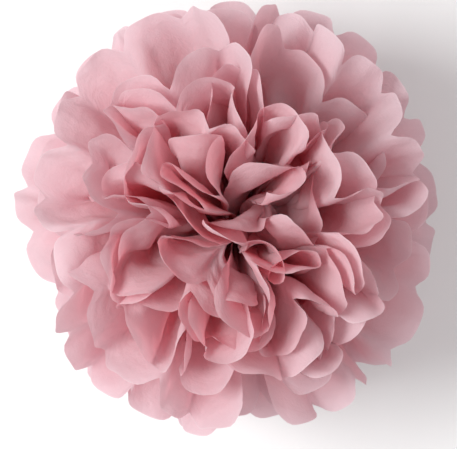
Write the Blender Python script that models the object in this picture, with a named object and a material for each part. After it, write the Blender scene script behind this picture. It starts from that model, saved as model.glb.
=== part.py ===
"""Tissue paper pom pom: a stack of pleated sheets, tied across the middle and fanned into a ball.

Each sheet is one piece of tissue. It is pleated like an accordion, its ends are cut round, and it
is tied at its middle, so each end opens into a half circle of rounded petals. Half of the sheets
are pulled up and half down. The tie runs along Y, the sheets run out to +X and -X, and +Z is the
ball's pole. The ball rests on the floor plane z = 0, which trims the lowest petals.
"""

import math

import bpy

MM = 0.001

# The flat sheet.
SHEET_LENGTH = 250 * MM        # tip to tip, across the tie
SHEET_WIDTH = 450 * MM         # along the pleats' rank
PANELS = 12                    # accordion panels in a sheet, one petal at each end of each
NOTCH_DEPTH = 13 * MM          # how far the rounded cut falls back at each fold
NOTCH_POWER = 2.6              # 2 is an ellipse, more is a squarer petal end
NOTCH_START = 0.45             # share of the half length where the cut starts to count
PAPER_THICKNESS = 0.3 * MM     # stands in for tissue a tenth as thick

# The stack and its tie.
SHEET_COUNT = 12
STACK_PITCH = 1.0 * MM
NEST_PITCH = 1.3 * MM          # each sheet bends this much outside its neighbour
WAIST_HALF_WIDTH = 5 * MM      # the gathered stack under the wire
WAIST_HALF_RUN = 4 * MM        # straight run on each side of the wire
SEAM_HALF_GAP = 2 * MM         # what is left of that run between the two fans at their tips
WIRE_RADIUS = 0.5 * MM
WIRE_GAP = 0.3 * MM
WIRE_SIDES = 8
WIRE_CORNER_STEPS = 4

# The opened ball.
TIE_HEIGHT = 112 * MM          # the floor is a little closer than a petal is long
FLATTEST_LAYER_DEG = 7.0
STEEPEST_LAYER_DEG = 79.0
PETAL_BOW_DEG = 20.0           # how far a petal's slope falls from root to tip
STEEPEST_PANEL_DEG = 68.0
RISE_RUN = 14 * MM             # path over which a sheet leaves the stack's plane
RISE_START = 0.15
PLEAT_RUN = 30 * MM            # path over which the pleats open
PROFILE_STEPS = 48
FLOOR_MARGIN = 20 * MM

COLUMNS_PER_PANEL = 3
ROW_SHARES = (0.0, 0.1, 0.34, 0.67, 1.0)    # of a petal's length, from the waist to the tip

TISSUE_COLOR = (0.62, 0.30, 0.32, 1.0)
TISSUE_ROUGHNESS = 0.85
WIRE_COLOR = (0.55, 0.55, 0.56, 1.0)
WIRE_ROUGHNESS = 0.4


def ease(x):
    """Smooth step from 0 to 1."""
    x = min(max(x, 0.0), 1.0)
    return x * x * (3.0 - 2.0 * x)


def link(name, vertices, faces):
    """Make a mesh object from its vertices and faces."""
    mesh = bpy.data.meshes.new(name)
    mesh.from_pydata(vertices, [], faces)
    mesh.update()
    piece = bpy.data.objects.new(name, mesh)
    bpy.context.scene.collection.objects.link(piece)
    return piece


def paint(piece, color, roughness, metallic=0.0):
    """Give a piece its own plain material."""
    material = bpy.data.materials.new(piece.name)
    material.use_nodes = True
    shader = material.node_tree.nodes["Principled BSDF"]
    shader.inputs["Base Color"].default_value = color
    shader.inputs["Roughness"].default_value = roughness
    shader.inputs["Metallic"].default_value = metallic
    piece.data.materials.append(material)


def zigzag(column):
    """Offset of the pleat at a column: 1 on even folds, -1 on odd folds."""
    panel, step = divmod(column, COLUMNS_PER_PANEL)
    rise = 1.0 - 2.0 * step / COLUMNS_PER_PANEL
    return rise if panel % 2 == 0 else -rise


def path_length(share, column):
    """Distance from the waist along a column of the flat sheet, with the rounded end cut."""
    step = (column % COLUMNS_PER_PANEL) / COLUMNS_PER_PANEL
    off_middle = abs(2.0 * step - 1.0)
    fall = 1.0 - (1.0 - off_middle ** NOTCH_POWER) ** (1.0 / NOTCH_POWER)
    cut = NOTCH_DEPTH * fall * ease((share - NOTCH_START) / (1.0 - NOTCH_START))
    return share * (SHEET_LENGTH / 2.0 - WAIST_HALF_RUN) - cut


def pleat_height(rho):
    """Half the height of the zigzag where the fan's radius is rho."""
    panel = SHEET_WIDTH / PANELS
    pitch = rho * math.pi / PANELS + 2.0 * WAIST_HALF_WIDTH / PANELS
    by_paper = math.sqrt(max(panel ** 2 - pitch ** 2, 0.0))
    by_slope = pitch * math.tan(math.radians(STEEPEST_PANEL_DEG))
    return min(by_paper, by_slope) / 2.0


def petal_slope(path, angle):
    """Slope of a layer at a distance along its path: it rises from the stack, then bows out."""
    bow = math.radians(PETAL_BOW_DEG) * (path / (SHEET_LENGTH / 2.0) - 0.5)
    rise = ease(path / RISE_RUN + RISE_START)
    return math.copysign((abs(angle) - bow) * rise, angle)


def profile(path, angle, nest):
    """Radius and rise of a layer at a distance along its path, and its slope there."""
    rho, rise = nest * ease(path / RISE_RUN), 0.0
    step = path / PROFILE_STEPS
    for index in range(PROFILE_STEPS):
        slope = petal_slope(step * (index + 0.5), angle)
        rho += step * math.cos(slope)
        rise += step * math.sin(slope)
    return rho, rise, petal_slope(path, angle)


def fan_column(column, angle, stack_z, nest, side):
    """Points of one column of one half of a sheet, from beside the tie to the petal's edge."""
    share = column / (PANELS * COLUMNS_PER_PANEL) - 0.5
    azimuth = math.pi * share
    points = []
    for row_share in ROW_SHARES:
        path = path_length(row_share, column)
        rho, rise, slope = profile(path, angle, nest)
        pleat = zigzag(column) * pleat_height(rho) * ease(path / PLEAT_RUN)
        out = rho - pleat * math.sin(slope)
        seam = WAIST_HALF_RUN + (SEAM_HALF_GAP - WAIST_HALF_RUN) * ease(row_share)
        x = side * (seam + out * math.cos(azimuth))
        y = 2.0 * WAIST_HALF_WIDTH * share + out * math.sin(azimuth)
        points.append((x, y, TIE_HEIGHT + stack_z + rise + pleat * math.cos(slope)))
    return points


def layer_angle(index):
    """Mean slope of a sheet, in radians: steep up at the first, steep down at the last."""
    half = SHEET_COUNT // 2
    step = (STEEPEST_LAYER_DEG - FLATTEST_LAYER_DEG) / (half - 1)
    if index < half:
        return math.radians(STEEPEST_LAYER_DEG - step * index)
    return -math.radians(FLATTEST_LAYER_DEG + step * (index - half))


def make_sheet(index):
    """One tissue sheet: the fan at -X, the waist under the wire and the fan at +X."""
    stack_z = ((SHEET_COUNT - 1) / 2.0 - index) * STACK_PITCH
    nest = min(index, SHEET_COUNT - 1 - index) * NEST_PITCH
    angle = layer_angle(index)
    vertices = []
    columns = PANELS * COLUMNS_PER_PANEL + 1
    for column in range(columns):
        near = fan_column(column, angle, stack_z, nest, -1.0)
        far = fan_column(column, angle, stack_z, nest, 1.0)
        vertices += near[::-1] + far
    rows = 2 * len(ROW_SHARES)
    faces = []
    for column in range(columns - 1):
        for row in range(rows - 1):
            corner = column * rows + row
            faces.append((corner, corner + 1, corner + rows + 1, corner + rows))
    sheet = link(f"tissue_sheet_{index + 1:02d}", vertices, faces)
    shell = sheet.modifiers.new("thickness", "SOLIDIFY")
    shell.thickness = PAPER_THICKNESS
    shell.offset = 0.0
    paint(sheet, TISSUE_COLOR, TISSUE_ROUGHNESS)
    return sheet


def make_floor_cutter():
    """Block below the floor plane, which takes the tips off the petals that bear on it."""
    half = SHEET_LENGTH / 2.0 + FLOOR_MARGIN
    depth = -2.0 * FLOOR_MARGIN
    corners = [(x, y, z) for z in (depth, 0.0) for y in (-half, half) for x in (-half, half)]
    faces = [(0, 2, 3, 1), (4, 5, 7, 6), (0, 1, 5, 4), (2, 6, 7, 3), (0, 4, 6, 2), (1, 3, 7, 5)]
    cutter = link("floor_cutter", corners, faces)
    cutter.hide_render = True
    cutter.display_type = "WIRE"
    return cutter


def trim(sheet, cutter):
    """Cut a sheet along the floor plane where it reaches below it."""
    cut = sheet.modifiers.new("floor", "BOOLEAN")
    cut.operation = "DIFFERENCE"
    cut.solver = "EXACT"
    cut.object = cutter


def wire_path():
    """Closed path of the wire round the stack, in the plane x = 0, with its outward directions."""
    half_height = (SHEET_COUNT - 1) * STACK_PITCH / 2.0 + PAPER_THICKNESS / 2.0
    stand_off = WIRE_GAP + WIRE_RADIUS
    path = []
    for quarter in range(4):
        corner_y = WAIST_HALF_WIDTH * (1.0 if quarter in (0, 3) else -1.0)
        corner_z = half_height * (1.0 if quarter in (0, 1) else -1.0)
        for step in range(WIRE_CORNER_STEPS + 1):
            turn = math.pi / 2.0 * (quarter + step / WIRE_CORNER_STEPS)
            out = (math.cos(turn), math.sin(turn))
            path.append((corner_y + stand_off * out[0], corner_z + stand_off * out[1], out))
    return path


def make_wire():
    """The binding wire: one closed loop round the waist of the stack."""
    path = wire_path()
    vertices = []
    for y, z, out in path:
        for side in range(WIRE_SIDES):
            turn = 2.0 * math.pi * side / WIRE_SIDES
            away = WIRE_RADIUS * math.cos(turn)
            along_x = WIRE_RADIUS * math.sin(turn)
            vertices.append((along_x, y + away * out[0], TIE_HEIGHT + z + away * out[1]))
    faces = []
    for ring in range(len(path)):
        after = (ring + 1) % len(path)
        for side in range(WIRE_SIDES):
            beside = (side + 1) % WIRE_SIDES
            faces.append((ring * WIRE_SIDES + side, after * WIRE_SIDES + side,
                          after * WIRE_SIDES + beside, ring * WIRE_SIDES + beside))
    wire = link("binding_wire", vertices, faces)
    paint(wire, WIRE_COLOR, WIRE_ROUGHNESS, metallic=1.0)


def main():
    """Clear the scene and build every piece."""
    for old in list(bpy.data.objects):
        bpy.data.objects.remove(old, do_unlink=True)
    cutter = make_floor_cutter()
    for index in range(SHEET_COUNT):
        sheet = make_sheet(index)
        if layer_angle(index) < 0.0:
            trim(sheet, cutter)
    make_wire()


main()
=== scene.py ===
"""Tissue paper pom pom: pleated sheets, tied in the middle, opened by hand into a ball of petals.

Each sheet starts as a flat grid. A Geometry Nodes tree cuts its ends round, pleats it and fans it
out. The sheets then settle as paper does: they keep their size, bend between their folds, press
against each other and bend on the floor. A second tree rounds and crinkles the settled sheets.
"""

import logging
import math
from dataclasses import dataclass, field
from enum import Enum

import bpy
import numpy as np
from mathutils import Matrix, Vector


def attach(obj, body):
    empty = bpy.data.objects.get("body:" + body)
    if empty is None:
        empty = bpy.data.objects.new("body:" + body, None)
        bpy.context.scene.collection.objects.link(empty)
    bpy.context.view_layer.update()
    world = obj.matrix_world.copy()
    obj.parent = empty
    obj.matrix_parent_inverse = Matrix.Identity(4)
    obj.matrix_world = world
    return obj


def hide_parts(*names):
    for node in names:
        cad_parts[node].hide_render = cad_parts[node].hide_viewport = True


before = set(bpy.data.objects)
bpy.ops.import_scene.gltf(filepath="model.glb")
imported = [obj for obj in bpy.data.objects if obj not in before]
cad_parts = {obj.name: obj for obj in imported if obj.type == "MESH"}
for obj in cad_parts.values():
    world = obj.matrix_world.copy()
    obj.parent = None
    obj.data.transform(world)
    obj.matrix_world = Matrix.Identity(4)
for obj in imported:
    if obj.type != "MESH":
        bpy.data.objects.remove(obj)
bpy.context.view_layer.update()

LOG = logging.getLogger("pom_pom")
MM = 0.001
ROOT_BODY = "root"
WIRE_NODE = "binding_wire"


class Slot(Enum):
    """Material slots that the new pieces take."""

    TISSUE = "tissue"


class Side(Enum):
    """Which end of the ball a sheet is pulled towards."""

    UP = 1.0
    DOWN = -1.0


class Pull(Enum):
    """Which links act: those that are too short, too long, or both."""

    SHORT = -1
    BOTH = 0
    LONG = 1


class Group:
    """A Geometry Nodes group under construction, with short names for its commonest nodes."""

    def __init__(self, name: str) -> None:
        """Start an empty group.

        Args:
            name: The group's name.
        """
        self.tree = bpy.data.node_groups.new(name, "GeometryNodeTree")
        self.tree.interface.new_socket(
            "Geometry", in_out="OUTPUT", socket_type="NodeSocketGeometry"
        )
        self.entry = self.tree.nodes.new("NodeGroupInput")
        self.exit = self.tree.nodes.new("NodeGroupOutput")

    def value(self, name: str, kind: str = "Float") -> "Field":
        """Add a named input.

        Args:
            name: The input's name.
            kind: Socket type without its prefix, such as Float, Int or Material.

        Returns:
            The input as a field.
        """
        self.tree.interface.new_socket(name, in_out="INPUT", socket_type=f"NodeSocket{kind}")
        return Field(self, self.entry.outputs[name])

    def node(self, kind: str, inputs: dict, **settings: object) -> bpy.types.Node:
        """Add a node.

        Args:
            kind: The node's type.
            inputs: Socket name or index to a field, socket or plain value.
            settings: Properties of the node, set before its sockets.

        Returns:
            The node.
        """
        made = self.tree.nodes.new(kind)
        for key, setting in settings.items():
            setattr(made, key, setting)
        for key, given in inputs.items():
            self.feed(made.inputs[key], given)
        return made

    def feed(self, socket: bpy.types.NodeSocket, given: object) -> None:
        """Link or set one socket.

        Args:
            socket: The socket.
            given: A field, an output socket or a plain value.
        """
        if isinstance(given, Field):
            self.tree.links.new(given.socket, socket)
        elif isinstance(given, bpy.types.NodeSocket):
            self.tree.links.new(given, socket)
        else:
            socket.default_value = given

    def math(self, operation: str, *terms: object) -> "Field":
        """Add a Math node.

        Args:
            operation: The node's operation.
            terms: Its inputs, in order.

        Returns:
            Its result.
        """
        made = self.node("ShaderNodeMath", dict(enumerate(terms)), operation=operation)
        return Field(self, made.outputs[0])

    def ease(self, given: "Field", low: float, high: float) -> "Field":
        """Smooth step of a field from 0 at low to 1 at high.

        Args:
            given: The field.
            low: Where the step starts.
            high: Where it ends.

        Returns:
            The stepped field.
        """
        made = self.node(
            "ShaderNodeMapRange",
            {"Value": given, "From Min": low, "From Max": high},
            interpolation_type="SMOOTHSTEP",
        )
        return Field(self, made.outputs["Result"])

    def finish(self, geometry: bpy.types.NodeSocket, material: "Field") -> None:
        """End the group in Realize Instances and Set Material.

        Args:
            geometry: The geometry to hand out.
            material: The material input.
        """
        real = self.node("GeometryNodeRealizeInstances", {"Geometry": geometry})
        paint = self.node(
            "GeometryNodeSetMaterial", {"Geometry": real.outputs[0], "Material": material}
        )
        self.tree.links.new(paint.outputs[0], self.exit.inputs[0])


class Field:
    """A number in a node group, which adds Math nodes as it is worked with."""

    def __init__(self, group: Group, socket: bpy.types.NodeSocket) -> None:
        """Wrap an output socket.

        Args:
            group: The group that the socket is in.
            socket: The socket.
        """
        self.group, self.socket = group, socket

    def __add__(self, other: object) -> "Field":
        """Sum."""
        return self.group.math("ADD", self, other)

    def __sub__(self, other: object) -> "Field":
        """Difference."""
        return self.group.math("SUBTRACT", self, other)

    def __rsub__(self, other: object) -> "Field":
        """Difference from a plain number."""
        return self.group.math("SUBTRACT", other, self)

    def __mul__(self, other: object) -> "Field":
        """Product."""
        return self.group.math("MULTIPLY", self, other)

    def __truediv__(self, other: object) -> "Field":
        """Quotient."""
        return self.group.math("DIVIDE", self, other)

    def __pow__(self, other: object) -> "Field":
        """Power."""
        return self.group.math("POWER", self, other)

    def call(self, operation: str, *others: object) -> "Field":
        """Any other Math operation, with this field as its first term."""
        return self.group.math(operation, self, *others)


def grown(
    name: str, mesh: bpy.types.Mesh, group: Group, inputs: dict[str, object]
) -> bpy.types.Object:
    """Run a node group on a mesh and keep its result as a plain mesh object.

    Args:
        name: Name of the object.
        mesh: The mesh that the group starts from.
        group: The finished group.
        inputs: Input name to value.

    Returns:
        A new object at the origin with no modifiers.
    """
    holder = bpy.data.objects.new(f"{name}_start", mesh)
    bpy.context.scene.collection.objects.link(holder)
    modifier = holder.modifiers.new("make", "NODES")
    modifier.node_group = group.tree
    sockets = {s.name: s.identifier for s in group.tree.interface.items_tree if s.in_out == "INPUT"}
    for key, given in inputs.items():
        modifier[sockets[key]] = given
    graph = bpy.context.evaluated_depsgraph_get()
    made = bpy.data.meshes.new_from_object(
        holder.evaluated_get(graph), preserve_all_data_layers=True, depsgraph=graph
    )
    made.name = name
    holder.modifiers.remove(modifier)
    bpy.data.objects.remove(holder, do_unlink=True)
    piece = bpy.data.objects.new(name, made)
    bpy.context.scene.collection.objects.link(piece)
    return piece


@dataclass(frozen=True)
class SheetCut:
    """The flat sheet of tissue: its size, its pleats and its rounded ends."""

    width: float = 450 * MM
    length: float = 250 * MM
    panels: int = 12
    columns_per_panel: int = 7
    rows_per_half: int = 36
    notch_depth: float = 13 * MM
    notch_power: float = 2.6
    notch_start: float = 0.45

    @property
    def columns(self) -> int:
        """Columns of points across the pleats."""
        return self.panels * self.columns_per_panel + 1

    @property
    def rows(self) -> int:
        """Rows of points from tip to tip."""
        return 2 * self.rows_per_half + 1

    @property
    def area(self) -> float:
        """Area of the cut sheet, without what the rounded ends take off.

        Returns:
            The area in square metres.
        """
        across = np.linspace(0.0, 1.0, 201)
        fall = 1.0 - (1.0 - np.abs(2.0 * across - 1.0) ** self.notch_power) ** (
            1.0 / self.notch_power
        )
        return self.width * (self.length - 2.0 * self.notch_depth * float(fall.mean()))


@dataclass(frozen=True)
class FanTree:
    """Geometry Nodes tree that cuts, pleats and fans one sheet out of a flat grid."""

    cut: SheetCut
    waist_half_width: float = 4 * MM
    waist_run: float = 4 * MM
    pleat_run: float = 26 * MM
    nest_run: float = 14 * MM
    steepest_panel: float = math.radians(70)
    petals_per_patch: float = 0.9
    patches_round_ball: float = 3.0
    shared_lift: float = 1.8

    def build(self) -> Group:
        """Build the tree.

        Returns:
            The group, with its sizes as named inputs.
        """
        group = Group("pleated_fan")
        names = ("Width", "Length", "Panels", "Notch Depth", "Tie Height", "Stack Height", "Nest")
        width, length, panels, notch, tie, stack, nest = (group.value(n) for n in names)
        names = ("Slope", "Bow", "Fan Angle", "Seed", "Slope Play", "Bow Play", "Turn Play")
        slope, bow, fan_angle, seed, slope_play, bow_play, turn_play = (
            group.value(n) for n in names
        )
        columns, rows = group.value("Columns", "Int"), group.value("Rows", "Int")
        material = group.value("Tissue", "Material")
        grid = group.node(
            "GeometryNodeMeshGrid",
            {"Size X": width, "Size Y": length, "Vertices X": columns, "Vertices Y": rows},
        )
        place = group.node("GeometryNodeInputPosition", {})
        parts = group.node("ShaderNodeSeparateXYZ", {0: place.outputs[0]})
        along, across = Field(group, parts.outputs[0]), Field(group, parts.outputs[1])
        share = along / width + 0.5
        side = across.call("SIGN")
        reach = self._reach(group, share, across.call("ABSOLUTE"), length, panels, notch)
        path = (reach - self.waist_run).call("MAXIMUM", 0.0)
        slope_luck, bow_luck = self._luck(group, share * panels * self.petals_per_patch, side, seed)
        turn_luck, lift_luck = self._luck(group, share * self.patches_round_ball, side, 0.0)
        slope_luck = slope_luck + lift_luck * slope.call("SINE") * self.shared_lift
        played = slope + slope_luck * slope_play * group.ease(path, 0.02, 0.08)
        bowed = bow + bow_luck * bow_play
        rho, rise, lean = self._arc(group, path, played, bowed, length)
        rho = rho + nest * group.ease(path, 0.0, self.nest_run)
        pleat = self._pleat(group, share, rho, path, width, panels)
        azimuth = (share - 0.5 + turn_luck * turn_play * (share * math.pi).call("SINE")) * fan_angle
        out = rho - pleat * lean.call("SINE")
        x = side * (reach.call("MINIMUM", self.waist_run) + out * azimuth.call("COSINE"))
        y = (share - 0.5) * (2.0 * self.waist_half_width) + out * azimuth.call("SINE")
        z = tie + stack + rise + pleat * lean.call("COSINE")
        opened = group.node("ShaderNodeCombineXYZ", {0: x, 1: y, 2: z})
        flat = group.node("ShaderNodeCombineXYZ", {0: share * width, 1: side * reach})
        mesh = self._store(group, grid.outputs["Mesh"], "UVMap", grid.outputs["UV Map"], "CORNER")
        mesh = self._store(group, mesh, "flat", flat.outputs[0], "POINT")
        moved = group.node(
            "GeometryNodeSetPosition", {"Geometry": mesh, "Position": opened.outputs[0]}
        )
        group.finish(moved.outputs[0], material)
        return group

    def _reach(
        self,
        group: Group,
        share: Field,
        from_tie: Field,
        length: Field,
        panels: Field,
        notch: Field,
    ) -> Field:
        """Distance from the tie on the flat sheet, with each panel's end cut round.

        Args:
            group: The group.
            share: Place across the sheet, 0 to 1.
            from_tie: Distance from the tie before the cut.
            length: The sheet's length.
            panels: Number of panels.
            notch: Depth of the cut at a fold.

        Returns:
            The distance after the cut.
        """
        in_panel = (share * panels).call("FRACT")
        off_middle = (in_panel * 2.0 - 1.0).call("ABSOLUTE")
        power = self.cut.notch_power
        fall = 1.0 - (1.0 - off_middle**power).call("MAXIMUM", 0.0) ** (1.0 / power)
        tip_share = from_tie * 2.0 / length
        return from_tie - notch * fall * group.ease(tip_share, self.cut.notch_start, 1.0)

    def _luck(self, group: Group, place: Field, side: Field, seed: object) -> tuple[Field, Field]:
        """Two smooth random numbers, from about -1 to 1, that change from petal to petal.

        Args:
            group: The group.
            place: Place across the sheet; the numbers change over about 1.
            side: Which half of the sheet, -1 or 1.
            seed: A number for the sheet.

        Returns:
            The two fields.
        """
        spot = group.node("ShaderNodeCombineXYZ", {0: place, 1: side * 17.3, 2: seed})
        noise = group.node(
            "ShaderNodeTexNoise", {"Vector": spot.outputs[0], "Scale": 1.0, "Detail": 1.0}
        )
        split = group.node("FunctionNodeSeparateColor", {0: noise.outputs["Color"]})
        first, second = (Field(group, split.outputs[i]) * 4.0 - 2.0 for i in (0, 1))
        return first, second

    def _arc(
        self, group: Group, path: Field, slope: Field, bow: Field, length: Field
    ) -> tuple[Field, Field, Field]:
        """Radius, rise and lean of a petal that bends evenly outwards along its path.

        Args:
            group: The group; not used.
            path: Distance along the petal.
            slope: Its mean slope.
            bow: How much its slope falls from root to tip.
            length: The sheet's length.

        Returns:
            Radius, rise and local slope.
        """
        half = length * 0.5
        start = slope + bow * 0.5
        lean = start - bow * path / half
        radius = half / bow
        rho = radius * (start.call("SINE") - lean.call("SINE"))
        rise = radius * (lean.call("COSINE") - start.call("COSINE"))
        return rho, rise, lean

    def _pleat(
        self, group: Group, share: Field, rho: Field, path: Field, width: Field, panels: Field
    ) -> Field:
        """Zigzag offset from the layer's middle, as high as the paper and its slope allow.

        Args:
            group: The group.
            share: Place across the sheet, 0 to 1.
            rho: Radius of the fan here.
            path: Distance along the petal.
            width: The sheet's width.
            panels: Number of panels.

        Returns:
            The offset, up at even folds and down at odd folds.
        """
        pitch = (rho.call("MAXIMUM", 0.0) * math.pi + 2.0 * self.waist_half_width) / panels
        panel = width / panels
        by_paper = (panel * panel - pitch * pitch).call("MAXIMUM", 1e-6).call("SQRT")
        height = by_paper.call("MINIMUM", pitch * math.tan(self.steepest_panel)) * 0.5
        wave = (share * panels).call("PINGPONG", 1.0) * -2.0 + 1.0
        return wave * height * group.ease(path, 0.0, self.pleat_run)

    def _store(
        self, group: Group, mesh: object, name: str, given: object, domain: str
    ) -> bpy.types.NodeSocket:
        """Store a named attribute.

        Args:
            group: The group.
            mesh: The geometry.
            name: The attribute's name.
            given: Its value.
            domain: POINT or CORNER.

        Returns:
            The geometry with the attribute.
        """
        kind = "FLOAT2" if domain == "CORNER" else "FLOAT_VECTOR"
        made = group.node(
            "GeometryNodeStoreNamedAttribute", {"Geometry": mesh}, data_type=kind, domain=domain
        )
        made.inputs["Name"].default_value = name
        group.feed(made.inputs["Value"], given)
        return made.outputs[0]


@dataclass(frozen=True)
class CrinkleTree:
    """Geometry Nodes tree that rounds a settled sheet and crinkles it as handled tissue is."""

    levels: int = 1
    fold_sharpness: float = 0.85
    broad_size: float = 22 * MM
    fine_size: float = 7 * MM
    calm_radius: float = 20 * MM

    def build(self) -> Group:
        """Build the tree.

        Returns:
            The group, with its depths as named inputs.
        """
        group = Group("crinkled_tissue")
        sheet = group.value("Sheet", "Geometry")
        broad, fine, seed = (group.value(n) for n in ("Broad Depth", "Fine Depth", "Seed"))
        material = group.value("Tissue", "Material")
        fold = group.node("GeometryNodeInputNamedAttribute", {"Name": "fold"}, data_type="FLOAT")
        round_off = group.node(
            "GeometryNodeSubdivisionSurface",
            {
                "Mesh": sheet,
                "Level": self.levels,
                "Edge Crease": Field(group, fold.outputs["Attribute"]) * self.fold_sharpness,
            },
        )
        flat = group.node(
            "GeometryNodeInputNamedAttribute", {"Name": "flat"}, data_type="FLOAT_VECTOR"
        )
        spot = group.node("ShaderNodeSeparateXYZ", {0: flat.outputs["Attribute"]})
        from_tie = Field(group, spot.outputs[1]).call("ABSOLUTE")
        depth = self._waves(group, flat.outputs["Attribute"], seed, self.broad_size) * broad
        depth = depth + self._waves(group, flat.outputs["Attribute"], seed, self.fine_size) * fine
        depth = depth * group.ease(from_tie, self.calm_radius, 3.0 * self.calm_radius)
        normal = group.node("GeometryNodeInputNormal", {})
        push = group.node(
            "ShaderNodeVectorMath", {0: normal.outputs[0], "Scale": depth}, operation="SCALE"
        )
        moved = group.node(
            "GeometryNodeSetPosition", {"Geometry": round_off.outputs[0], "Offset": push.outputs[0]}
        )
        smooth = group.node(
            "GeometryNodeSetShadeSmooth", {"Geometry": moved.outputs[0], "Shade Smooth": True}
        )
        group.finish(smooth.outputs[0], material)
        return group

    def _waves(self, group: Group, flat: object, seed: Field, size: float) -> Field:
        """Noise over the flat sheet, from about -1 to 1.

        Args:
            group: The group.
            flat: Place on the flat sheet, in metres.
            seed: A number for the sheet.
            size: Size of a crinkle.

        Returns:
            The noise.
        """
        noise = group.node(
            "ShaderNodeTexNoise",
            {"Vector": flat, "W": seed, "Scale": 1.0 / size, "Detail": 2.0, "Distortion": 0.2},
            noise_dimensions="4D",
        )
        return Field(group, noise.outputs[0]) * 4.0 - 2.0


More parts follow.
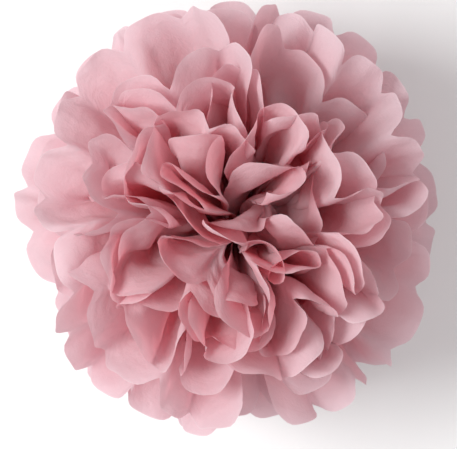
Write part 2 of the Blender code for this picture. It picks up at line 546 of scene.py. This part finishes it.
class Settler:
    """Lets a stack of fanned sheets settle: paper keeps its size, bends, touches and rests."""

    STRETCH = ((0, 1, False, 1.0), (1, 0, False, 1.0), (1, 1, False, 0.5), (1, 1, True, 0.5))
    BEND = ((0, 2, False, 0.4), (2, 0, False, 0.35), (0, 4, False, 0.25), (5, 0, False, 0.2))
    FOLD_LINK = 6
    FOLD_FORCE = 0.22
    FOLD_SHARES = (0.55, 0.95)
    FREE_FROM = 22 * MM
    FREE_RUN = 20 * MM
    LINK_FROM = 20 * MM
    LINK_RUN = 25 * MM
    STIFF_FOLD_FROM = 65 * MM
    STIFF_FOLD_RUN = 55 * MM
    STIFF_FOLD_MOST = 0.12
    TOUCH_FROM = 35 * MM
    TOUCH_SHARE = 0.055
    TOUCH_MOST = 5 * MM
    TOUCH_LEAST = 1.2 * MM
    TOUCH_PUSH = 0.8
    SAME_PAPER = 2.2
    SEARCH = 1.5
    SEARCH_EVERY = 5
    LONGEST_MOVE = 0.9 * MM
    GROWTH_STEPS = 50

    def __init__(self, cut: SheetCut, points: np.ndarray, flat: np.ndarray, floor: float) -> None:
        """Take the fanned sheets.

        Args:
            cut: The flat sheet.
            points: Places, by sheet, row, column and axis.
            flat: Places on the flat sheet, by row, column and axis.
            floor: Height of the floor.
        """
        self.cut, self.points = cut, points.astype(np.float32)
        self.start, self.flat, self.floor = self.points.copy(), flat.astype(np.float32), floor
        self.from_tie = np.abs(self.flat[..., 1])
        self.loose = ease((self.from_tie - self.FREE_FROM) / self.FREE_RUN)[None, :, :, None]
        self.loose = self.loose * np.ones(points.shape[:1] + (1, 1, 1), np.float32)
        self.stretch = [self._rule(*rule, Pull.BOTH) for rule in self.STRETCH]
        self.bend = [self._rule(*rule, Pull.SHORT) for rule in self.BEND]
        self.bend.append(self._rule(0, self.FOLD_LINK, False, self.FOLD_FORCE, Pull.LONG))
        spread = np.broadcast_to(self.from_tie[None], points.shape[:3]).reshape(-1)
        self.touching = np.nonzero(spread > self.TOUCH_FROM)[0]
        self.reach = np.clip(spread * self.TOUCH_SHARE, self.TOUCH_LEAST, self.TOUCH_MOST)
        self.sheet_of = np.repeat(np.arange(len(points)), flat.shape[0] * flat.shape[1])
        self.flat_of = np.broadcast_to(self.flat[None], points.shape[:3] + (2,)).reshape(-1, 2)
        self.pairs = (np.zeros(0, int), np.zeros(0, int), np.zeros(0))
        self.grown = 0.1

    def _rule(self, down: int, over: int, mirrored: bool, strength: float, pull: Pull) -> tuple:
        """Rest lengths and strengths of one family of links between points of the grid.

        Args:
            down: Rows that a link crosses.
            over: Columns that it crosses.
            mirrored: Whether it runs the other way over.
            strength: Its strength.
            pull: Which of its errors count.

        Returns:
            The family.
        """
        rows, columns = self.flat.shape[:2]
        sides = slice(0, columns - over), slice(over, columns)
        left, right = sides[::-1] if mirrored else sides
        first, second = (slice(0, rows - down), left), (slice(down, rows), right)
        rest = np.linalg.norm(self.flat[second] - self.flat[first], axis=-1)
        near = 0.5 * (self.from_tie[first] + self.from_tie[second])
        force = strength * ease((near - self.LINK_FROM) / self.LINK_RUN)
        if pull is Pull.SHORT and over:
            force = force * self._stiffness(over)[:, over // 2 : columns - over // 2]
        if pull is Pull.LONG:
            on_fold, share = self._memory()
            rest = rest * share[over // 2 : columns - over // 2]
            force = force * on_fold[over // 2 : columns - over // 2]
        rest, force = (x[None, ..., None].astype(np.float32) for x in (rest, force))
        return down, over, mirrored, rest, force, pull

    def _stiffness(self, over: int) -> np.ndarray:
        """Stiffness of links over the columns: full inside a panel, almost none over a fold.

        Args:
            over: Columns that a link crosses.

        Returns:
            A share for each point of the grid, as the middle of a link.
        """
        per = self.cut.columns_per_panel
        column = np.arange(self.flat.shape[1])
        off_fold = np.abs((column + per // 2) % per - per // 2)
        luck = np.random.default_rng(self.cut.panels)
        soft = luck.uniform(0.0, self.STIFF_FOLD_MOST, column.shape)
        grip = ease((self.from_tie - self.STIFF_FOLD_FROM) / self.STIFF_FOLD_RUN)
        return np.where(off_fold < over / 2, soft * grip * (over < 3), 1.0)

    def _memory(self) -> tuple[np.ndarray, np.ndarray]:
        """How far each fold stays folded: where the folds are, and how much they shorten a link."""
        column = np.arange(self.flat.shape[1])
        share = np.random.default_rng(self.cut.rows).uniform(*self.FOLD_SHARES, column.shape)
        return (column % self.cut.columns_per_panel == 0).astype(float), share

    def _apply(self, rule: tuple, share: float = 1.0) -> None:
        """Move the points of one family of links towards their rest lengths.

        Args:
            rule: The family.
            share: Share of its strength.
        """
        down, over, mirrored, rest, force, pull = rule
        rows, columns = self.flat.shape[:2]
        step = down or over
        for turn in range(2 * step):
            if down:
                ahead = slice(turn, rows - down, 2 * step), slice(turn + down, rows, 2 * step)
                plain = slice(0, columns - over), slice(over, columns)
                sides = plain[::-1] if mirrored else plain
                first, second = (ahead[0], sides[0]), (ahead[1], sides[1])
                part = (slice(None), ahead[0])
            else:
                ahead = slice(turn, columns - over, 2 * step), slice(turn + over, columns, 2 * step)
                first, second = (slice(None), ahead[0]), (slice(None), ahead[1])
                part = (slice(None), slice(None), ahead[0])
            one, two = (slice(None), *first), (slice(None), *second)
            self._pull(one, two, rest[part], share * force[part], pull)

    def _pull(
        self, first: tuple, second: tuple, rest: np.ndarray, force: np.ndarray, pull: Pull
    ) -> None:
        """Pull or push two sets of points to a distance.

        Args:
            first: Index of the first points.
            second: Index of the second points.
            rest: Their rest distance.
            force: Share of the error that is mended.
            pull: Which errors count.
        """
        one, two = self.points[first], self.points[second]
        gap = two - one
        size = np.sqrt((gap * gap).sum(-1, keepdims=True)) + 1e-12
        error = (size - rest) / size
        if pull is not Pull.BOTH:
            error = np.minimum(error, 0.0) if pull is Pull.SHORT else np.maximum(error, 0.0)
        free_one, free_two = self.loose[first], self.loose[second]
        move = error * force / (free_one + free_two + 1e-9) * gap
        one += free_one * move
        two -= free_two * move

    def _find_pairs(self) -> None:
        """List pairs of points that are close in space but not on the flat sheet."""
        places = self.points.reshape(-1, 3)
        cell = self.TOUCH_MOST * self.SEARCH
        box = np.floor(places[self.touching] / cell).astype(np.int64)
        box -= box.min(0) - 1
        size = box.max(0) + 2
        key = (box[:, 0] * size[1] + box[:, 1]) * size[2] + box[:, 2]
        order = np.argsort(key, kind="stable")
        key = key[order]
        ones, twos = [], []
        around = [(x, y, z) for x in (-1, 0, 1) for y in (-1, 0, 1) for z in (-1, 0, 1)]
        for x, y, z in [spot for spot in around if spot >= (0, 0, 0)]:
            jump = (x * size[1] + y) * size[2] + z
            low = np.searchsorted(key, key + jump, "left") if jump else np.arange(1, len(key) + 1)
            high = np.searchsorted(key, key + jump, "right")
            count = np.maximum(high - low, 0)
            one = np.repeat(np.arange(len(key)), count)
            within = np.arange(len(one)) - np.repeat(np.cumsum(count) - count, count)
            ones.append(order[one])
            twos.append(order[np.repeat(low, count) + within])
        one = self.touching[np.concatenate(ones)]
        two = self.touching[np.concatenate(twos)]
        gap = places[one] - places[two]
        close = (gap * gap).sum(1) < cell**2
        one, two = one[close], two[close]
        paper = np.linalg.norm(self.flat_of[one] - self.flat_of[two], axis=1)
        far_on_paper = paper > self.SAME_PAPER * self.TOUCH_MOST
        apart = (self.sheet_of[one] != self.sheet_of[two]) | far_on_paper
        one, two = one[apart], two[apart]
        self.pairs = one, two, np.minimum(self.reach[one], self.reach[two])

    def _keep_apart(self) -> None:
        """Push touching points apart."""
        one, two, least = self.pairs
        places, loose = self.points.reshape(-1, 3), self.loose.reshape(-1)
        gap = places[one] - places[two]
        size = np.sqrt((gap * gap).sum(1)) + 1e-12
        hit = size < least
        one, two, gap = one[hit], two[hit], gap[hit]
        move = (0.5 * (least[hit] - size[hit]) / size[hit])[:, None] * gap
        total = len(places)
        count = np.bincount(one, minlength=total) + np.bincount(two, minlength=total)
        share = self.TOUCH_PUSH * loose * np.minimum(count, 2) / np.maximum(count, 1)
        for axis in range(3):
            push = np.bincount(one, move[:, axis], total) - np.bincount(two, move[:, axis], total)
            places[:, axis] += share * push

    def run(self, steps: int, hold: float, push: np.ndarray | None = None) -> None:
        """Settle for a number of steps.

        Args:
            steps: Number of steps.
            hold: Share of the way back to the start that a point is drawn in a step.
            push: A nudge for each point, which fades over the run.
        """
        for step in range(steps):
            before = self.points.copy()
            self.grown = min(self.grown + 1.0 / self.GROWTH_STEPS, 1.0)
            if step % self.SEARCH_EVERY == 0:
                self._find_pairs()
            self.points += self.loose * hold * (self.start - self.points)
            if push is not None:
                self.points += self.loose * push * (1.0 - step / steps)
            for rule in self.bend:
                self._apply(rule)
            self._keep_apart()
            for rule in self.stretch + self.stretch:
                self._apply(rule, self.grown)
            np.maximum(self.points[..., 2], self.floor, out=self.points[..., 2])
            move = self.points - before
            length = np.linalg.norm(move, axis=-1, keepdims=True)
            self.points = before + move * np.minimum(1.0, self.LONGEST_MOVE / (length + 1e-12))


def ease(given: np.ndarray) -> np.ndarray:
    """Smooth step from 0 to 1.

    Args:
        given: The numbers.

    Returns:
        The stepped numbers.
    """
    clipped = np.clip(given, 0.0, 1.0)
    return clipped * clipped * (3.0 - 2.0 * clipped)


class Paint:
    """A material under construction, with short names for its commonest nodes."""

    def __init__(self, name: str) -> None:
        """Start a material with no nodes.

        Args:
            name: The material's name.
        """
        self.material = bpy.data.materials.new(name)
        self.material.use_nodes = True
        self.nodes, self.links = self.material.node_tree.nodes, self.material.node_tree.links
        self.nodes.clear()

    def node(self, kind: str, **inputs: object) -> bpy.types.Node:
        """Add a node and feed its inputs.

        Args:
            kind: The node's type.
            inputs: Socket name, with underscores for blanks, to a socket or a plain value.

        Returns:
            The node.
        """
        made = self.nodes.new(kind)
        for key, given in inputs.items():
            self.feed(made.inputs[key.replace("_", " ")], given)
        return made

    def feed(self, socket: bpy.types.NodeSocket, given: object) -> None:
        """Link or set one socket.

        Args:
            socket: The socket.
            given: An output socket or a plain value, where a colour has three parts.
        """
        if isinstance(given, bpy.types.NodeSocket):
            self.links.new(given, socket)
        elif socket.type == "RGBA":
            socket.default_value = (*given, 1.0)
        else:
            socket.default_value = given

    def mix(self, share: object, one: object, two: object) -> bpy.types.NodeSocket:
        """Mix two colours, each a socket or a plain colour.

        Args:
            share: Socket for the share of the second.
            one: The first colour.
            two: The second colour.

        Returns:
            The mixed colour.
        """
        made = self.nodes.new("ShaderNodeMix")
        made.data_type = "RGBA"
        for index, given in ((0, share), (6, one), (7, two)):
            self.feed(made.inputs[index], given)
        return made.outputs[2]

    def ramp(self, given: object, low: float, high: float, most: float = 1.0) -> object:
        """Map a number from low..high to 0..most.

        Args:
            given: The number.
            low: What becomes 0.
            high: What becomes most.
            most: The largest result.

        Returns:
            The mapped number.
        """
        made = self.node(
            "ShaderNodeMapRange", From_Min=low, From_Max=high, To_Max=most, Value=given
        )
        return made.outputs["Result"]


@dataclass(frozen=True)
class TissueFinish:
    """Dusty pink tissue: matte, thin enough to glow, crinkled and faintly laid."""

    color: tuple[float, float, float] = (0.81, 0.605, 0.66)
    deep_color: tuple[float, float, float] = (0.77, 0.525, 0.585)
    glow_color: tuple[float, float, float] = (0.90, 0.25, 0.29)
    # Painted light: paler colours towards the petal tips, in the paper and in the light it lets
    # through, as where light shines through the single outer layers.
    tip_backlight_color: tuple[float, float, float] = (0.80, 0.73, 0.775)
    glow_tip_backlight_color: tuple[float, float, float] = (0.83, 0.58, 0.63)
    # Pale colour of the fine fibres, also used as a painted highlight along the cut edges.
    fibre_and_rim_highlight_color: tuple[float, float, float] = (0.88, 0.82, 0.85)
    glow: float = 0.48
    roughness: float = 0.8
    specular: float = 0.25
    sheen: float = 0.15
    sheen_roughness: float = 0.6
    sheet_size: tuple[float, float] = (450 * MM, 250 * MM)
    # Width and greatest share of the painted highlight along the cut edges.
    rim_highlight: float = 0.9 * MM
    rim_highlight_share: float = 0.8
    # Run and greatest shares of the painted light that makes the tips paler.
    tip_backlight_run: float = 50 * MM
    tip_share: float = 0.65
    glow_tip_backlight_share: float = 0.85
    mottle_size: float = 30 * MM
    fibre_size: float = 0.9 * MM
    crease_size: float = 10 * MM
    laid_pitch: float = 1.1 * MM
    crease_bump: tuple[float, float] = (0.45, 2.2 * MM)
    laid_bump: tuple[float, float] = (0.06, 0.3 * MM)
    fibre_bump: tuple[float, float] = (0.2, 0.3 * MM)

    def material(self, name: str, tint: float, tip_backlight_amount: float) -> bpy.types.Material:
        """Make the material of one sheet.

        Args:
            name: The material's name.
            tint: Small shift of this sheet's pattern.
            tip_backlight_amount: How much painted light this sheet shows at its tips, making them
                paler, 0 to 1.

        Returns:
            The material.
        """
        paint = Paint(name)
        chart = paint.nodes.new("ShaderNodeUVMap")
        chart.uv_map = "UVMap"
        place = paint.node(
            "ShaderNodeMapping",
            Vector=chart.outputs[0],
            Location=(tint, 2.0 * tint, 0.0),
            Scale=(*self.sheet_size, 1.0),
        ).outputs[0]
        bump = self._bump(paint, place)
        shader = paint.node(
            "ShaderNodeBsdfPrincipled",
            Base_Color=self._color(paint, chart.outputs[0], place, tip_backlight_amount),
            Roughness=self.roughness,
            Specular_IOR_Level=self.specular,
            Sheen_Weight=self.sheen,
            Sheen_Roughness=self.sheen_roughness,
            Normal=bump,
        )
        # Painted light: the light let through is paler towards the tips.
        tip = self._painted_light_at_ends(paint, chart.outputs[0], self.tip_backlight_run, self.glow_tip_backlight_share * tip_backlight_amount)
        through = paint.node(
            "ShaderNodeBsdfTranslucent",
            Color=paint.mix(tip, self.glow_color, self.glow_tip_backlight_color),
            Normal=bump,
        )
        both = paint.node("ShaderNodeMixShader", Fac=self.glow)
        paint.feed(both.inputs[1], shader.outputs[0])
        paint.feed(both.inputs[2], through.outputs[0])
        paint.node("ShaderNodeOutputMaterial", Surface=both.outputs[0])
        return paint.material

    def _color(
        self, paint: Paint, chart: object, place: object, tip_backlight_amount: float
    ) -> bpy.types.NodeSocket:
        """Colour of the paper: mottled dye, fine pale fibres, painted light that makes the tips paler
        and a painted highlight along the cut edges.

        Args:
            paint: The material under construction.
            chart: The sheet's UV map.
            place: Place on the flat sheet, in metres.
            tip_backlight_amount: How much painted light shows at the tips, making them paler, 0 to 1.

        Returns:
            The colour.
        """
        mottle, fibre = (
            paint.node("ShaderNodeTexNoise", Vector=place, Scale=1.0 / size, Detail=detail)
            for size, detail in ((self.mottle_size, 3.0), (self.fibre_size, 2.0))
        )
        color = paint.mix(
            paint.ramp(mottle.outputs[0], 0.35, 0.65), self.color, self.deep_color
        )
        color = paint.mix(paint.ramp(fibre.outputs[0], 0.5, 0.75, 0.35), color, self.fibre_and_rim_highlight_color)
        # Painted light: paler towards the tips, as where light shines through them.
        tip = self._painted_light_at_ends(paint, chart, self.tip_backlight_run, self.tip_share * tip_backlight_amount)
        color = paint.mix(tip, color, self.tip_backlight_color)
        # Painted highlight along the cut edges.
        rim_highlight = self._painted_light_at_ends(paint, chart, self.rim_highlight, self.rim_highlight_share)
        return paint.mix(rim_highlight, color, self.fibre_and_rim_highlight_color)

    def _painted_light_at_ends(self, paint: Paint, chart: object, run: float, most: float) -> bpy.types.NodeSocket:
        """Share that grows from 0, a run away from the cut ends, to its most at them, which masks the
        painted light at the tips and cut edges.

        Args:
            paint: The material under construction.
            chart: The sheet's UV map.
            run: The run, along the paper.
            most: The share at the cut ends.

        Returns:
            The share.
        """
        split = paint.node("ShaderNodeSeparateXYZ", Vector=chart)
        centred, away = (paint.nodes.new("ShaderNodeMath") for _ in range(2))
        centred.operation, away.operation = "SUBTRACT", "ABSOLUTE"
        paint.feed(centred.inputs[0], split.outputs[1])
        paint.feed(away.inputs[0], centred.outputs[0])
        return paint.ramp(away.outputs[0], 0.5 - run / self.sheet_size[1], 0.5, most)

    def _bump(self, paint: Paint, place: object) -> bpy.types.NodeSocket:
        """Fine relief: small creases, laid lines and fibre.

        Args:
            paint: The material under construction.
            place: Place on the flat sheet, in metres.

        Returns:
            The bumped normal.
        """
        crease = paint.node(
            "ShaderNodeTexNoise",
            Scale=1.0 / self.crease_size,
            Detail=5.0,
            Roughness=0.6,
            Distortion=0.3,
        )
        laid = paint.node(
            "ShaderNodeTexWave", Scale=0.05 / self.laid_pitch, Distortion=0.4, Detail=1.0
        )
        laid.bands_direction = "Y"
        fibre = paint.node("ShaderNodeTexNoise", Scale=1.0 / self.fibre_size, Detail=3.0)
        normal = None
        for texture, (strength, depth) in (
            (crease, self.crease_bump),
            (laid, self.laid_bump),
            (fibre, self.fibre_bump),
        ):
            paint.feed(texture.inputs["Vector"], place)
            height = texture.outputs["Fac"]
            made = paint.node("ShaderNodeBump", Strength=strength, Distance=depth, Height=height)
            if normal is not None:
                paint.feed(made.inputs["Normal"], normal)
            normal = made.outputs["Normal"]
        return normal


@dataclass(frozen=True)
class WireFinish:
    """Plain steel florist's wire, drawn and a little dull."""

    color: tuple[float, float, float] = (0.48, 0.47, 0.46)
    roughness: tuple[float, float] = (0.32, 0.57)
    draw_size: float = 0.4 * MM

    def material(self) -> bpy.types.Material:
        """Make the material.

        Returns:
            The material.
        """
        paint = Paint("florist_wire")
        place = paint.node("ShaderNodeTexCoord").outputs["Object"]
        noise = paint.node("ShaderNodeTexNoise", Scale=1.0 / self.draw_size, Vector=place)
        low, high = self.roughness
        worn = paint.node(
            "ShaderNodeMapRange", To_Min=low, To_Max=high, Value=noise.outputs["Fac"]
        )
        shader = paint.node(
            "ShaderNodeBsdfPrincipled",
            Base_Color=self.color,
            Metallic=1.0,
            Roughness=worn.outputs["Result"],
        )
        paint.node("ShaderNodeOutputMaterial", Surface=shader.outputs[0])
        return paint.material


@dataclass
class PetalBall:
    """The stack of tissue sheets, opened half up and half down into a ball."""

    cut: SheetCut = field(default_factory=SheetCut)
    finish: TissueFinish = field(default_factory=TissueFinish)
    sheet_count: int = 12
    tie_height: float = 112 * MM
    stack_pitch: float = 1.0 * MM
    nest_pitch: float = 1.3 * MM
    flattest: float = math.radians(7)
    steepest: float = math.radians(72)
    bow: float = math.radians(24)
    slope_play: float = math.radians(6)
    bow_play: float = math.radians(14)
    turn_play: float = 0.06
    fan_angle: float = math.radians(188)
    nudge: float = 0.42 * MM
    nudge_from: float = 50 * MM
    nudge_run: float = 60 * MM
    steps: tuple[int, int] = (180, 60)
    holds: tuple[float, float] = (0.003, 0.001)
    broad_depth: float = 1.0 * MM
    fine_depth: float = 0.35 * MM
    floor_gap: float = 1.0 * MM
    seed: int = 3

    def names(self) -> list[str]:
        """Names of the sheets' CAD nodes, from the top down."""
        return [f"tissue_sheet_{index + 1:02d}" for index in range(self.sheet_count)]

    def slope(self, index: int) -> tuple[Side, float]:
        """Side and steepness of a sheet.

        Args:
            index: The sheet's place, from the top.

        Returns:
            The side and the mean slope in radians.
        """
        half = self.sheet_count // 2
        step = (self.steepest - self.flattest) / (half - 1)
        if index < half:
            return Side.UP, self.steepest - step * index
        return Side.DOWN, self.flattest + step * (index - half)

    def fan(self, group: Group, index: int, material: bpy.types.Material) -> bpy.types.Object:
        """Cut, pleat and fan one sheet.

        Args:
            group: The fan tree.
            index: The sheet's place, from the top.
            material: Its tissue.

        Returns:
            The fanned sheet.
        """
        side, slope = self.slope(index)
        inputs = {
            "Width": self.cut.width,
            "Length": self.cut.length,
            "Panels": float(self.cut.panels),
            "Columns": self.cut.columns,
            "Rows": self.cut.rows,
            "Notch Depth": self.cut.notch_depth,
            "Tie Height": self.tie_height,
            "Stack Height": ((self.sheet_count - 1) / 2.0 - index) * self.stack_pitch,
            "Nest": min(index, self.sheet_count - 1 - index) * self.nest_pitch,
            "Slope": side.value * slope,
            "Bow": side.value * self.bow,
            "Fan Angle": self.fan_angle,
            "Seed": 3.7 * index + self.seed,
            "Slope Play": self.slope_play,
            "Bow Play": self.bow_play,
            "Turn Play": self.turn_play,
            "Tissue": material,
        }
        return grown(self.names()[index], bpy.data.meshes.new("flat"), group, inputs)

    def settle(self, sheets: list[bpy.types.Object]) -> None:
        """Let the fanned sheets settle against each other and on the floor.

        Args:
            sheets: The fanned sheets, whose points move.
        """
        rows, columns = self.cut.rows, self.cut.columns
        points = np.empty((len(sheets), columns * rows, 3))
        for index, sheet in enumerate(sheets):
            flat_list = np.empty(columns * rows * 3)
            sheet.data.vertices.foreach_get("co", flat_list)
            points[index] = flat_list.reshape(-1, 3)
        chart = np.empty(columns * rows * 3)
        sheets[0].data.attributes["flat"].data.foreach_get("vector", chart)
        chart = chart.reshape(columns, rows, 3).transpose(1, 0, 2)[..., :2].copy()
        placed = points.reshape(-1, columns, rows, 3).transpose(0, 2, 1, 3).copy()
        settler = Settler(self.cut, placed, chart, self.floor_gap)
        for steps, hold, push in zip(self.steps, self.holds, (self._nudges(settler), None)):
            settler.run(steps, hold, push)
        moved = settler.points.transpose(0, 2, 1, 3).reshape(len(sheets), -1)
        for index, sheet in enumerate(sheets):
            sheet.data.vertices.foreach_set("co", np.ascontiguousarray(moved[index]))
            sheet.data.update()

    def _nudges(self, settler: Settler) -> np.ndarray:
        """Small pushes, one direction for each fold, as fingers leave when they open a petal.

        Args:
            settler: The settler, which knows where each point is on its sheet.

        Returns:
            A push for each point.
        """
        luck = np.random.default_rng(self.seed)
        panels, middle = self.cut.panels, self.cut.rows_per_half
        spots = np.linspace(0.0, panels, self.cut.columns)
        push = np.zeros_like(settler.points)
        grip = ease((settler.from_tie - self.nudge_from) / self.nudge_run)[..., None]
        for sheet in range(self.sheet_count):
            for half in (slice(0, middle), slice(middle, self.cut.rows)):
                picks = luck.normal(0.0, 1.0, (panels + 1, 3))
                spread = [np.interp(spots, np.arange(panels + 1), picks[:, k]) for k in range(3)]
                push[sheet, half] = np.stack(spread, -1)[None] * grip[half] * self.nudge
        return push

    def mark_folds(self, sheet: bpy.types.Object) -> None:
        """Mark the edges along the folds, for the crinkle tree to keep sharp.

        Args:
            sheet: The sheet.
        """
        mesh = sheet.data
        ends = np.empty(len(mesh.edges) * 2, int)
        mesh.edges.foreach_get("vertices", ends)
        column = ends.reshape(-1, 2) // self.cut.rows
        on_fold = (column[:, 0] == column[:, 1]) & (column[:, 0] % self.cut.columns_per_panel == 0)
        fold = mesh.attributes.new("fold", "FLOAT", "EDGE")
        fold.data.foreach_set("value", on_fold.astype(float))

    def build(self) -> list[bpy.types.Object]:
        """Returns:
            The finished sheets.
        """
        fans, crinkles = FanTree(self.cut).build(), CrinkleTree().build()
        names = self.names()
        # The flatter a sheet, the more of the painted light at its tips it shows.
        tissues = [
            self.finish.material(f"{name}_paper", 0.37 * index, math.cos(self.slope(index)[1]))
            for index, name in enumerate(names)
        ]
        sheets = [self.fan(fans, index, tissues[index]) for index in range(self.sheet_count)]
        self.settle(sheets)
        finished = []
        for index, sheet in enumerate(sheets):
            self.mark_folds(sheet)
            inputs = {
                "Broad Depth": self.broad_depth,
                "Fine Depth": self.fine_depth,
                "Seed": 1.9 * index + self.seed,
                "Tissue": tissues[index],
            }
            mesh = sheet.data
            bpy.data.objects.remove(sheet, do_unlink=True)
            piece = grown(names[index], mesh, crinkles, inputs)
            finished.append(self.declare(piece, index))
        return finished

    def declare(self, piece: bpy.types.Object, index: int) -> bpy.types.Object:
        """Say what a finished sheet is.

        Args:
            piece: The sheet.
            index: Its place, from the top.

        Returns:
            The sheet.
        """
        node = self.names()[index]
        piece.name = f"{node}_petals"
        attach(piece, ROOT_BODY)
        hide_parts(node)
        return piece


@dataclass
class Studio:
    """Plain pale floor, soft light from the left and above, and a camera that looks down the pole."""

    ball_middle: tuple[float, float, float] = (0.0, 0.0, 0.112)
    lens: float = 100.0
    distance: float = 0.772
    elevation: float = math.radians(84)
    azimuth: float = math.radians(131)
    aim: tuple[float, float, float] = (-0.001, -0.002, 0.112)
    floor_size: float = 8.0
    floor_color: tuple[float, float, float] = (0.93, 0.93, 0.93)
    sky_color: tuple[float, float, float] = (1.0, 0.96, 0.965)
    sky_strength: float = 0.53
    key_place: tuple[float, float, float] = (-0.83, 0.09, 0.98)
    fill_place: tuple[float, float, float] = (0.7, -0.7, 0.9)

    def build(self) -> None:
        """Build the floor, the lights and the camera."""
        self._floor()
        self._world()
        self._lamp("key", self.key_place, 0.55, 15.6, (0.98, 1.0, 0.995))
        self._lamp("fill", self.fill_place, 0.9, 2.0, (0.95, 0.97, 1.0))
        self._camera()

    def _floor(self) -> None:
        """Make the floor."""
        half = self.floor_size / 2.0
        mesh = bpy.data.meshes.new("floor")
        corners = [(-half, -half, 0.0), (half, -half, 0.0), (half, half, 0.0), (-half, half, 0.0)]
        mesh.from_pydata(corners, [], [(0, 1, 2, 3)])
        floor = bpy.data.objects.new("floor", mesh)
        bpy.context.scene.collection.objects.link(floor)
        paint = Paint("floor_paint")
        shader = paint.node("ShaderNodeBsdfPrincipled", Base_Color=self.floor_color, Roughness=0.9)
        paint.node("ShaderNodeOutputMaterial", Surface=shader.outputs[0])
        mesh.materials.append(paint.material)

    def _world(self) -> None:
        """Make the pale surroundings."""
        world = bpy.data.worlds.new("studio")
        world.use_nodes = True
        sky = world.node_tree.nodes["Background"]
        sky.inputs["Color"].default_value = (*self.sky_color, 1.0)
        sky.inputs["Strength"].default_value = self.sky_strength
        bpy.context.scene.world = world
        bpy.context.scene.view_settings.view_transform = "Standard"

    def _lamp(
        self,
        name: str,
        place: tuple[float, float, float],
        size: float,
        power: float,
        color: tuple[float, float, float],
    ) -> None:
        """Make a square lamp that faces the ball.

        Args:
            name: The lamp's name.
            place: Where it is, from the ball's middle.
            size: Its side.
            power: Its power in watts.
            color: Its colour.
        """
        light = bpy.data.lights.new(name, "AREA")
        light.energy, light.size, light.color = power, size, color
        lamp = bpy.data.objects.new(name, light)
        bpy.context.scene.collection.objects.link(lamp)
        middle, stand = Vector(self.ball_middle), Vector(self.ball_middle) + Vector(place)
        facing = (middle - stand).to_track_quat("-Z", "Y")
        lamp.matrix_world = Matrix.Translation(stand) @ facing.to_matrix().to_4x4()

    def _camera(self) -> None:
        """Make the camera, upright along +Y, with the pole a little to the lower right."""
        aim = Vector(self.aim)
        flat = math.cos(self.elevation)
        back = Vector(
            (flat * math.cos(self.azimuth), flat * math.sin(self.azimuth), math.sin(self.elevation))
        )
        up = Vector((0.0, 1.0, 0.0))
        up = (up - back * up.dot(back)).normalized()
        right = up.cross(back)
        turn = Matrix((right, up, back)).transposed().to_4x4()
        data = bpy.data.cameras.new("camera")
        data.lens = self.lens
        camera = bpy.data.objects.new("camera", data)
        bpy.context.scene.collection.objects.link(camera)
        camera.matrix_world = Matrix.Translation(aim + back * self.distance) @ turn
        bpy.context.scene.camera = camera


def dress_wire() -> None:
    """Give the binding wire its steel."""
    wire = bpy.data.objects[WIRE_NODE]
    for place in wire.material_slots:
        place.material = WireFinish().material()


def main() -> None:
    """Build the ball, dress the wire and set up the studio."""
    logging.basicConfig(level=logging.INFO, format="%(name)s: %(message)s")
    for piece in PetalBall().build():
        LOG.info("%s: %d faces", piece.name, len(piece.data.polygons))
    dress_wire()
    LOG.info("%s: dressed", WIRE_NODE)
    Studio().build()


if __name__ == "__main__":
    main()
